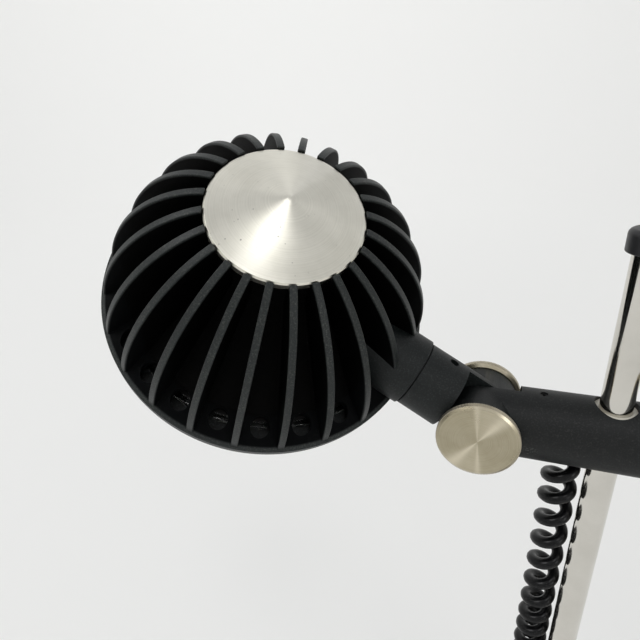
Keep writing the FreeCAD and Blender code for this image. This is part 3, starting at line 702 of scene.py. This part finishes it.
def makeHeadCasting():
    s = shell
    bm = bmesh.new()
    outline = rounded([
        (0, -s["crownTop"]), (s["crown"], -s["crownTop"], 0.4), (s["crown"], -s["crownDrop"], 6.0),
        (s["flangeInner"], -s["flangeDrop"], 0.5), (s["rim"], -s["rimDrop"], 0.3),
        (s["lip"], -s["rimDrop"], 0.15), (s["lip"], -s["bottom"], 0.6),
        (s["cavity"], -s["bottom"], 0.4), (s["cavity"], -s["lipDrop"]),
        (s["flangeInner"] - 1.6, -s["flangeDrop"] - 2.4, 1.0),
        (s["crown"] - s["wall"], -s["crownDrop"] - s["wall"], 2.0),
        (s["crown"] - s["wall"], -s["crownDrop"]), (0, -s["crownDrop"])])
    lathe(bm, outline, Matrix.Identity(4), 192)
    casting = makeObject("headShell", bm, coat["fins"])

    drill = bmesh.new()
    hole = Matrix.Translation((s["ventCircle"], 0, 0))
    lathe(drill, [(0, -60), (s["ventRadius"], -60), (s["ventRadius"], -38), (0, -38)], hole, 28)
    vents = makeObject("vents", drill, coat["fins"])
    bay = 360 / fin["count"]
    repeatRound(vents, fin["count"] - 3, 2 * bay, bay, coat["fins"], Matrix.Identity(4))
    cutWith(casting, vents)
    casting.data.transform(headPlace)

    finPiece = makeObject("fins", makeFinMesh(), coat["fins"])
    soften = finPiece.modifiers.new("edge", "BEVEL")
    soften.width = fin["edgeRound"]
    soften.segments = 3
    soften.limit_method = "ANGLE"
    soften.angle_limit = math.radians(50)
    settle(finPiece)
    repeatRound(finPiece, fin["count"], 0.5 * bay, bay, coat["fins"], headPlace)

    neck = bmesh.new()
    tube = rounded([
        (s["bossBore"], s["bossStart"]), (s["bossRadius"], s["bossStart"]),
        (s["bossRadius"], s["bossEnd"], s["bossRound"]), (s["bossBore"], s["bossEnd"], 0.3),
        (s["bossBore"], s["bossStart"])])[:-1]
    boss = Matrix.Translation((0, 0, -place["neckDrop"])) @ alongX
    lathe(neck, tube, headPlace @ boss, 96, ring=True)
    neckPiece = makeObject("headBoss", neck, coat["powder"])

    piece = joinPieces("headCasting", [casting, finPiece, neckPiece])
    smooth(piece)
    give(piece, "head", "black_casting", "heat_sink_housing")


def makeFinMesh():
    # one fin standing on +X: an oval outer edge, a foot on the rim, its root in the shell
    f = fin
    centreZ = f["proud"] - f["arcHeight"]
    first = (f["startRadius"] - f["arcCentre"]) / f["arcRadius"]
    last = (1 - abs((-f["rimDrop"] - centreZ) / f["arcHeight"]) ** f["fullness"]) ** (1 / f["fullness"])
    steps = 40
    outline = []
    for k in range(steps + 1):
        share = first + (last - first) * math.sin(math.pi / 2 * k / steps)
        height = (1 - share ** f["fullness"]) ** (1 / f["fullness"])
        outline.append((f["arcCentre"] + f["arcRadius"] * share, centreZ + f["arcHeight"] * height))
    outline[-1] = (outline[-1][0], -f["rimDrop"])
    outline += [(outline[-1][0], -f["foot"]), (shell["rim"] - shell["wall"], -f["foot"]),
                (shell["crown"] - 1.5, -shell["crownDrop"] - 1), (shell["crown"] - 1.5, -4.0),
                (f["startRadius"], -4.0)]
    bm = bmesh.new()
    upright = Matrix.Rotation(math.radians(90), 4, "X")
    slab(bm, outline, -f["thick"] / 2, f["thick"] / 2, upright)
    return bm


disc = {"radius": 25.2, "thick": 3.0, "edge": 0.5, "rise": 7.0, "tip": 1.5, "rings": 36}


def turnedUv(piece, where):
    # u runs round the axis and v outwards, so the tangent follows the tool marks
    inverse = where.inverted()
    layer = piece.data.uv_layers.new(name="turned")
    for poly in piece.data.polygons:
        middle = inverse @ poly.center
        centre = math.atan2(middle.y, middle.x)
        for corner in poly.loop_indices:
            spot = inverse @ piece.data.vertices[piece.data.loops[corner].vertex_index].co
            flat = math.hypot(spot.x, spot.y)
            angle = math.atan2(spot.y, spot.x) if flat > 1e-4 else centre
            while angle - centre > math.pi:
                angle -= 2 * math.pi
            while angle - centre < -math.pi:
                angle += 2 * math.pi
            layer.data[corner].uv = (angle / (2 * math.pi), flat / 30 + abs(spot.z) / 100)


def makeDisc():
    d = disc
    bm = bmesh.new()
    flat = d["radius"] - d["edge"]
    slope = d["rise"] / flat
    face = []
    for k in range(d["rings"]):
        radius = flat * k / d["rings"]
        # a shallow cone with its tip rounded off
        blunt = math.hypot(radius, d["tip"]) - d["tip"] * math.exp(-radius / 4)
        face.append((radius, d["rise"] - slope * blunt))
    edge = rounded([face[-1], (flat, 0, 0.15), (d["radius"], -d["edge"], 0.3),
                    (d["radius"], -d["thick"], 0.3), (0, -d["thick"])])
    lathe(bm, face + edge[1:], headPlace, 192)
    piece = makeObject("turnedDisc", bm, coat["disc"])
    smooth(piece, 50)
    turnedUv(piece, headPlace)
    give(piece, "head", "turned_aluminium", "top_disc")


def makeGrub(name, radius, length, where, body, node):
    # headless screw with a hexagon socket
    bm = bmesh.new()
    lathe(bm, rounded([(0, -length), (radius, -length, 0.2), (radius, 0, 0.25), (0, 0)]), where, 40)
    screw = makeObject(name, bm, coat["darkSteelAndShade"])
    cutSlab(screw, circle(0.55 * radius, 6), -1.6, 1.0, where)
    smooth(screw)
    give(screw, body, "zinc_steel", node)


under = {
    "bezelBore": 50.0, "bezelRadius": 59.8, "bezelLow": 56.8, "bezelTop": 55.2,
    "glassRadius": 54.4, "glassTop": 52.2,
    "bowlMouth": 9.5, "bowlSpread": 40.0, "bowlDeep": 32.4, "bowlLow": 51.4, "lip": 52.5,
    "bowlWall": 0.8, "bowlSteps": 28, "segments": 128,
    "screwCircle": 57.4, "screwHead": 1.9, "screwShank": 1.0, "slotLow": 58.2, "slotTop": 57.3,
    "bulbRadius": 5.5, "bulbMiddle": 45.0, "bulbTop": 23.2,
    "filament": 6.0, "filamentHeight": 41, "filamentRadius": 0.9, "filamentTurns": 9, "wire": 0.25,
}


def makeUnderside():
    u = under
    low, top, bore, radius = u["bezelLow"], u["bezelTop"], u["bezelBore"], u["bezelRadius"]
    bezel = rounded([(bore, -low, 0.4), (radius, -low, 0.5), (radius, -top, 0.2),
                     (bore, -top, 0.2), (bore, -low)])[:-1]
    giveTurned("bezelRing", bezel, headPlace, 160, "powder", "head", "black_casting",
               "bezel_ring", ring=True)
    glass = rounded([(0, -top), (u["glassRadius"], -top, 0.3),
                     (u["glassRadius"], -u["glassTop"], 0.3), (0, -u["glassTop"])])
    giveTurned("frontGlass", glass, headPlace, u["segments"], "glass", "head", "clear_glass",
               "front_glass")
    makeBowl()
    makeBezelScrews()
    makeCapsule()


def makeBowl():
    # bowl on a parabola, with a thin wall and a turned-out lip
    u = under
    steps = u["bowlSteps"]
    outside = []
    inside = []
    for k in range(steps + 1):
        share = k / steps
        radius = u["bowlMouth"] + u["bowlSpread"] * share
        z = -u["bowlLow"] + u["bowlDeep"] * (1 - share ** 2)
        outside.append((radius, z))
        inside.append((radius - u["bowlWall"], z - 0.3))
    inside[-1] = (48.7, -u["glassTop"])
    lip = [(u["lip"], -u["bowlLow"]), (u["lip"], -u["glassTop"])]
    bm = bmesh.new()
    lathe(bm, outside + lip + inside[::-1], headPlace, u["segments"], ring=True)
    bowl = smooth(makeObject("spunReflector", bm, coat["mirror"]))
    bowl.data.materials.append(coat["darkSteelAndShade"])
    for poly in bowl.data.polygons[:u["segments"] * (steps + 1)]:
        poly.material_index = 1      # its back is painted dark: painted shade seen through the vents
    give(bowl, "head", "polished_reflector", "reflector")


def makeBezelScrews():
    u = under
    head, shank = u["screwHead"], u["screwShank"]
    upsideDown = Matrix.Rotation(math.pi, 4, "X")
    at = Matrix.Translation((u["screwCircle"], 0, -u["bezelLow"])) @ upsideDown
    bm = bmesh.new()
    lathe(bm, rounded([(0, 1.0), (head, 1.0, 0.5), (head, 0), (shank, 0), (shank, -5.0),
                       (0, -5.0)]), at, 32)
    screws = makeObject("bezelScrews", bm, coat["steel"])
    cutSlab(screws, rectangle(5.0, 0.5, u["screwCircle"], 0), -u["slotLow"], -u["slotTop"],
            Matrix.Identity(4))
    repeatRound(screws, 3, 52.5, 120.0, coat["steel"], headPlace)
    give(smooth(screws), "head", "zinc_steel", "bezel_screws")


def makeCapsule():
    # a quartz bulb with a pinched top, and a coiled filament across it
    u = under
    bulb = [(u["bulbRadius"] * math.sin(math.radians(a)),
             -u["bulbMiddle"] - u["bulbRadius"] * math.cos(math.radians(a)))
            for a in range(0, 91, 10)]
    bulb += rounded([(u["bulbRadius"], -44.0), (u["bulbRadius"], -31.0, 2.0), (2.2, -29.5, 0.8),
                     (1.6, -u["bulbTop"])])[1:]
    giveTurned("quartzCapsule", bulb + [(0, -u["bulbTop"])], headPlace, 48, "quartz", "head",
               "quartz_glass", "halogen_capsule")
    count = u["filamentTurns"] * 10
    coil = []
    for k in range(count + 1):
        angle = 2 * math.pi * k / 10
        coil.append(headPlace @ Vector((
            -u["filament"] / 2 + u["filament"] * k / count, u["filamentRadius"] * math.cos(angle),
            -u["filamentHeight"] + u["filamentRadius"] * math.sin(angle))))
    filament = makeObject("filament", curveMesh(coil, u["wire"] * mm), coat["tungsten"])
    filament.data.shade_smooth()
    give(filament, "head", "zinc_steel")


# --- tilt knuckle, arm and knobs

bar = {
    "radius": 12.5, "shoulder": 13.0, "barrelHalf": 12.9, "lapGap": 0.25,
    "seam": 28.25, "bore": 8.0, "boreDepth": 13.4, "edgeRound": 0.3,
    "rear": 26.0, "stemHole": 6.6,
}


def makeBar(side, far, where, holes):
    # round bar from the pivot outwards, half cut away by the lap, and the barrel on the pivot
    b = bar
    outward = 1 if far > 0 else -1
    bm = bmesh.new()
    low, high = sorted((0.0, far))
    ends = rounded([(0, low), (b["radius"], low, b["edgeRound"]),
                    (b["radius"], high, b["edgeRound"]), (0, high)])
    lathe(bm, ends, where @ alongX, 128)
    piece = makeObject("bar", bm, None)
    # the block reaches 10 mm past the pivot, and past the bar on the other sides
    middle = outward * (b["shoulder"] - 10.0) / 2
    deep = side * (b["lapGap"] + 0.02 - 10.0)
    cutSlab(piece, rectangle(b["shoulder"] + 10.0, 20.0, middle, deep), -20, 20, where)

    barrel = bmesh.new()
    outline = rounded([(0, b["lapGap"]), (b["radius"], b["lapGap"], 0.2),
                       (b["radius"], b["barrelHalf"], b["edgeRound"]), (0, b["barrelHalf"])])
    lathe(barrel, outline, where @ (towardsFar if side > 0 else towardsNear), 128)
    cutWith(piece, makeObject("barrel", barrel, None), "UNION")
    for hole in holes:
        cutWith(piece, hole)
    return piece


def drillHole(radius, low, high, where, segments=40):
    bm = bmesh.new()
    lathe(bm, [(0, low), (radius, low), (radius, high), (0, high)], where, segments)
    return makeObject("hole", bm, None)


def makeKnuckle():
    b = bar
    seam = knucklePlace @ Matrix.Translation((-b["seam"], 0, 0)) @ alongX
    grubAt = knucklePlace @ Matrix.Translation((-19.2, 0, 0))
    holes = [drillHole(b["bore"], -1, b["boreDepth"], seam), drillHole(1.7, 5, 14, grubAt, 28)]
    piece = makeBar(1, -b["seam"], knucklePlace, holes)
    piece.name = "knuckleCasting"
    piece.data.materials.append(coat["powder"])
    give(smooth(piece), "knuckle", "black_casting", "head_knuckle")
    makeGrub("neckGrub", 1.6, 4.0, grubAt @ Matrix.Translation((0, 0, 11.0)), "knuckle",
             "neck_set_screw")


gland = {
    "radius": 4.0, "depth": 6.0, "proud": 0.4, "bore": 2.4,
    "at": (-12.4, 2.0, 0),      # from the stem's axis
}


def makeArm():
    b = bar
    stemAt = armPlace @ Matrix.Translation((place["armReach"], 0, 0))
    grubAt = armPlace @ Matrix.Translation((20.1, 0, 0))
    glandAt = stemAt @ Matrix.Translation(gland["at"])
    holes = [drillHole(b["stemHole"], -20, 20, stemAt, 48), drillHole(1.3, 5, 14, grubAt, 28),
             drillHole(gland["radius"], -14, -6.5, glandAt)]
    piece = makeBar(-1, place["armReach"] + b["rear"], armPlace, holes)
    piece.name = "armCasting"
    piece.data.materials.append(coat["arm"])
    give(smooth(piece), "arm", "black_casting", "arm_tube")
    makeGrub("cordGrub", 1.2, 7.0, grubAt @ Matrix.Translation((0, 0, 12.0)), "arm",
             "cord_clamp_screw")
    below = glandAt @ Matrix.Translation((0, 0, -b["radius"])) @ Matrix.Rotation(math.pi, 4, "X")
    makeGland("armGland", below, "arm", "arm_gland")


def makeGland(name, where, body, node):
    g = gland
    outline = rounded([
        (g["bore"], -g["depth"]), (g["radius"], -g["depth"], 0.3), (g["radius"], g["proud"], 0.7),
        (g["bore"], g["proud"], 0.4), (g["bore"], -g["depth"])])[:-1]
    giveTurned(name, outline, where, 56, "rubber", body, "black_rubber", node, ring=True)


knob = {
    "radius": 14.0, "thick": 3.2, "bevel": 0.9, "hubRadius": 9.0, "hubStart": 13.3,
    "face": 13.5, "innerBevel": 1.3, "ridges": 168, "ridgeHigh": 0.16, "rings": 16,
}


def makeKnob(name, where, faceAt, hubAt, body, node, material):
    k = knob
    outer = k["radius"] - k["ridgeHigh"]
    top = faceAt + k["thick"]
    bm = bmesh.new()
    flat = outer - k["bevel"]
    face = [(flat * i / k["rings"], top) for i in range(k["rings"])]
    rest = rounded([
        (flat * (k["rings"] - 1) / k["rings"], top), (flat, top, 0.12),
        (outer, top - 0.8 * k["bevel"], 0.1), (outer, faceAt + 0.5 * k["innerBevel"], 0.2),
        (outer - k["innerBevel"], faceAt, 0.2), (k["hubRadius"], faceAt, 0.2),
        (k["hubRadius"], hubAt, 0.2), (0, hubAt)])
    lathe(bm, face + rest[1:], where, 160)
    turned = makeObject(name, bm, material)
    smooth(turned, 40)
    turnedUv(turned, where)

    # straight knurl: one ridge, then a ring of them
    ridge = bmesh.new()
    wide = 2 * math.pi * outer / k["ridges"] * 0.8
    section = [(outer - 0.1, -wide / 2), (outer, -wide / 2), (k["radius"], -wide / 6),
               (k["radius"], wide / 6), (outer, wide / 2), (outer - 0.1, wide / 2)]
    slab(ridge, section, faceAt + 0.5 * k["innerBevel"] + 0.1, top - 0.75 * k["bevel"],
         Matrix.Identity(4))
    knurl = makeObject("knurl", ridge, coat["knurl"])
    repeatRound(knurl, k["ridges"], 0.0, 360 / k["ridges"], coat["knurl"], where)
    give(turned, body, "nickel_knob", node)
    knurl.name = name + "Knurl"
    knurl.data.shade_flat()
    give(knurl, body, "nickel_knob")


# --- stem, foot and base

foot = {
    "stemRadius": 5.0, "stemLow": 50.6, "stemTop": 468.0, "collarRadius": 20.0,
    "collarLow": 46.6, "collarTop": 64.6, "baseRadius": 88.0, "baseTop": 46.0, "baseLow": 2.0,
    "baseRound": 6.0, "wall": 5.0, "capRadius": 7.0, "capBore": 5.05, "capLow": 464.0,
    "capRoof": 468.05, "capTop": 471.0, "spigot": 9.0, "spigotLow": 34.6, "baseBore": 9.06,
    "padRadius": 73.0,
}


def makeColumn():
    f = foot
    stem = rounded([(0, f["stemLow"]), (f["stemRadius"], f["stemLow"], 0.3),
                    (f["stemRadius"], f["stemTop"], 0.6), (0, f["stemTop"])])
    giveTurned("chromeStem", stem, scaled, 96, "chrome", "column", "chrome_tube", "stem")
    cap = rounded([(0, f["capRoof"]), (f["capBore"], f["capRoof"]), (f["capBore"], f["capLow"]),
                   (f["capRadius"], f["capLow"], 0.4), (f["capRadius"], f["capTop"], 1.8),
                   (0, f["capTop"])])
    giveTurned("stemCap", cap, scaled, 72, "plastic", "column", "black_plastic", "stem_cap")
    bm = bmesh.new()
    lathe(bm, rounded([
        (f["spigot"], f["spigotLow"], 0.3), (f["spigot"], f["collarLow"]),
        (f["collarRadius"], f["collarLow"], 0.5), (f["collarRadius"], f["collarTop"], 1.5),
        (f["stemRadius"], f["collarTop"], 0.3), (f["stemRadius"], f["spigotLow"])]),
        scaled, 128, ring=True)
    collar = makeObject("footCollar", bm, coat["powder"])
    glandAt = scaled @ Matrix.Translation(gland["at"])
    grubAt = scaled @ Matrix.Translation((0, 0, f["collarLow"] + 10)) @ alongX
    cutWith(collar, drillHole(gland["radius"], f["collarTop"] - 6, f["collarTop"] + 2, glandAt))
    cutWith(collar, drillHole(2.0, 8, 22, grubAt, 28))
    give(smooth(collar), "column", "black_casting", "foot_collar")
    makeGland("collarGland", glandAt @ Matrix.Translation((0, 0, f["collarTop"])), "column",
              "collar_gland")
    makeGrub("collarGrub", 2.0, 14.0, grubAt @ Matrix.Translation((0, 0, 19.0)), "column",
             "collar_set_screw")


# widths and depths of their rectangles
switch = {
    "at": (-48.0, -36.0, 46.0), "opening": (23.0, 11.0), "body": (22.6, 10.6), "deep": 14.0,
    "bezel": (26.0, 14.0), "bezelHigh": 1.5, "well": (19.6, 7.6), "wellDeep": 3.5,
    "rocker": [(-8.9, -2.8), (8.9, -2.8), (8.9, 2.0), (4.0, 1.25), (0, 1.05), (-4.0, 1.9),
               (-8.9, 3.75)],
    "rockerHalf": 3.4,
}
inlet = {
    "middle": (0, 19.0), "opening": (24.0, 17.0), "body": (23.6, 16.6), "flange": (27.0, 20.0),
    "well": (19.6, 12.6), "bodyFrom": 69.0, "bodyTo": 89.0, "flangeFrom": 86.6,
    "flangeTo": 89.6, "wellFrom": 73.0,
}


def makeBase():
    f = foot
    bm = bmesh.new()
    inner = f["baseRadius"] - f["wall"]
    bore = f["baseBore"]
    lathe(bm, rounded([
        (bore, f["baseTop"], 0.3), (f["baseRadius"], f["baseTop"], f["baseRound"]),
        (f["baseRadius"], f["baseLow"], 0.8), (inner, f["baseLow"], 0.4),
        (inner, f["baseTop"] - f["wall"], 1.5), (bore, f["baseTop"] - f["wall"]),
        (bore, f["baseTop"])], 8)[:-1], scaled, 192, ring=True)
    casting = makeObject("baseCasting", bm, coat["base"])
    cutSlab(casting, rectangle(*switch["opening"], *switch["at"][:2]), 30, 60, scaled)
    cutSlab(casting, rectangle(*inlet["opening"], *inlet["middle"]), 70, 100,
            scaled @ towardsBack)
    give(smooth(casting), "base", "black_base", "base_casting")
    pad = rounded([(0, 0), (f["padRadius"], 0, 0.6), (f["padRadius"], f["baseLow"], 0.2),
                   (0, f["baseLow"])])
    giveTurned("rubberPad", pad, scaled, 128, "rubber", "base", "black_rubber", "rubber_pad")
    makeSwitch()
    makeInlet()


def makeSwitch():
    w = switch
    spot = scaled @ Matrix.Translation(w["at"])
    bm = bmesh.new()
    slab(bm, rectangle(*w["body"]), -w["deep"], 0.4, spot)
    slab(bm, rectangle(*w["bezel"]), 0.0, w["bezelHigh"], spot, 0.45)
    body = makeObject("switchBody", bm, coat["plastic"])
    cutSlab(body, rectangle(*w["well"]), -w["wellDeep"], 3.0, spot)
    give(smooth(body), "base", "black_plastic", "switch_body")

    bm = bmesh.new()
    turn = Matrix(((1, 0, 0), (0, 0, -1), (0, 1, 0))).to_4x4()
    slab(bm, w["rocker"], -w["rockerHalf"], w["rockerHalf"], spot @ turn, 0.35)
    givePiece("switchRocker", bm, "plastic", "rocker", "black_plastic", "switch_rocker")


def makeInlet():
    n = inlet
    spot = scaled @ towardsBack
    bm = bmesh.new()
    slab(bm, rectangle(*n["body"], *n["middle"]), n["bodyFrom"], n["bodyTo"], spot)
    slab(bm, rectangle(*n["flange"], *n["middle"]), n["flangeFrom"], n["flangeTo"], spot, 0.6)
    body = makeObject("mainsInlet", bm, coat["plastic"])
    cutSlab(body, rectangle(*n["well"], *n["middle"]), n["wellFrom"], 92.0, spot)
    give(smooth(body), "base", "black_plastic", "mains_inlet")


# --- room

room = {
    "radius": 4.6, "wall": 4.0, "curve": 3.4,      # metres
    "floor": "d9d9d7", "glow": 0.185,
    "skyStrength": 0.58,
}


def makeRoom():
    # round sweep: a floor that curves up into a wall all round, open above
    r = room
    bm = bmesh.new()
    outline = rounded([(0, 0), (r["radius"], 0, r["curve"]), (r["radius"], r["wall"])], 24)
    faces = lathe(bm, outline, Matrix.Identity(4), 96)
    bmesh.ops.reverse_faces(bm, faces=faces)
    paper = makeSimple("backdropPaper", r["floor"], r["floor"], 0.9, grain=60, relief=0.01,
                       Emission_Color=hexToLinear("ffffff"), Emission_Strength=r["glow"])
    sweep = makeObject("sweep", bm, paper)
    sweep.data.shade_smooth()

    world = bpy.data.worlds.new("sky")
    world.use_nodes = True
    world.node_tree.nodes["Background"].inputs["Color"].default_value = hexToLinear("fbfcff")
    world.node_tree.nodes["Background"].inputs["Strength"].default_value = r["skyStrength"]
    bpy.context.scene.world = world


lamps = [
    # name, metres, aimed at, size in metres, watts, colour
    ("leftSoftbox", (-1.5, -1.1, 2.3), (-0.1, 0, 0.4), (1.4, 1.0), 18.0, "ffffff"),
    ("topSoftbox", (0.4, -0.95, 2.2), (-0.1, 0, 0.45), (0.5, 0.5), 3.2, "ffffff"),
    ("backdropWash", (-1.0, 1.6, 3.2), (-1.4, 4.4, 1.2), (2.6, 0.8), 37.0, "fbfbfb"),
    ("rightWindow", (1.9, -1.5, 0.95), (-0.05, 0, 0.4), (0.5, 0.9), 5.0, "ffffff"),
]


def makeLights():
    for name, spot, aim, size, watts, colour in lamps:
        data = bpy.data.lights.new(name, "AREA")
        data.shape = "RECTANGLE"
        data.size, data.size_y = size
        data.energy = watts
        data.color = hexToLinear(colour)[:3]
        light = bpy.data.objects.new(name, data)
        light.location = spot
        light.rotation_euler = (Vector(aim) - Vector(spot)).to_track_quat("-Z", "Y").to_euler()
        bpy.context.scene.collection.objects.link(light)


makeCamera()
coatCadNodes()
print("camera and materials ready")
makeCurlyCord()
makeHeadCasting()
makeDisc()
makeUnderside()
print("head ready")
makeKnuckle()
makeArm()
makeKnob("nearKnob", armPlace @ towardsNear, knob["face"], knob["hubStart"], "near_clamp",
         "near_knob", coat["nearKnob"])
makeKnob("farKnob", knucklePlace @ towardsFar, knob["face"], knob["hubStart"], "far_clamp",
         "far_knob", coat["farKnob"])
rearFace = place["armReach"] + bar["rear"] + 1.0
makeKnob("rearKnob", armPlace @ alongX, rearFace, rearFace - 0.6, "rear_clamp", "rear_knob",
         coat["rearKnob"])
print("arm and knobs ready")
makeColumn()
makeBase()
print("stem and base ready")
makeRoom()
makeLights()
bpy.context.scene.view_settings.view_transform = "Standard"
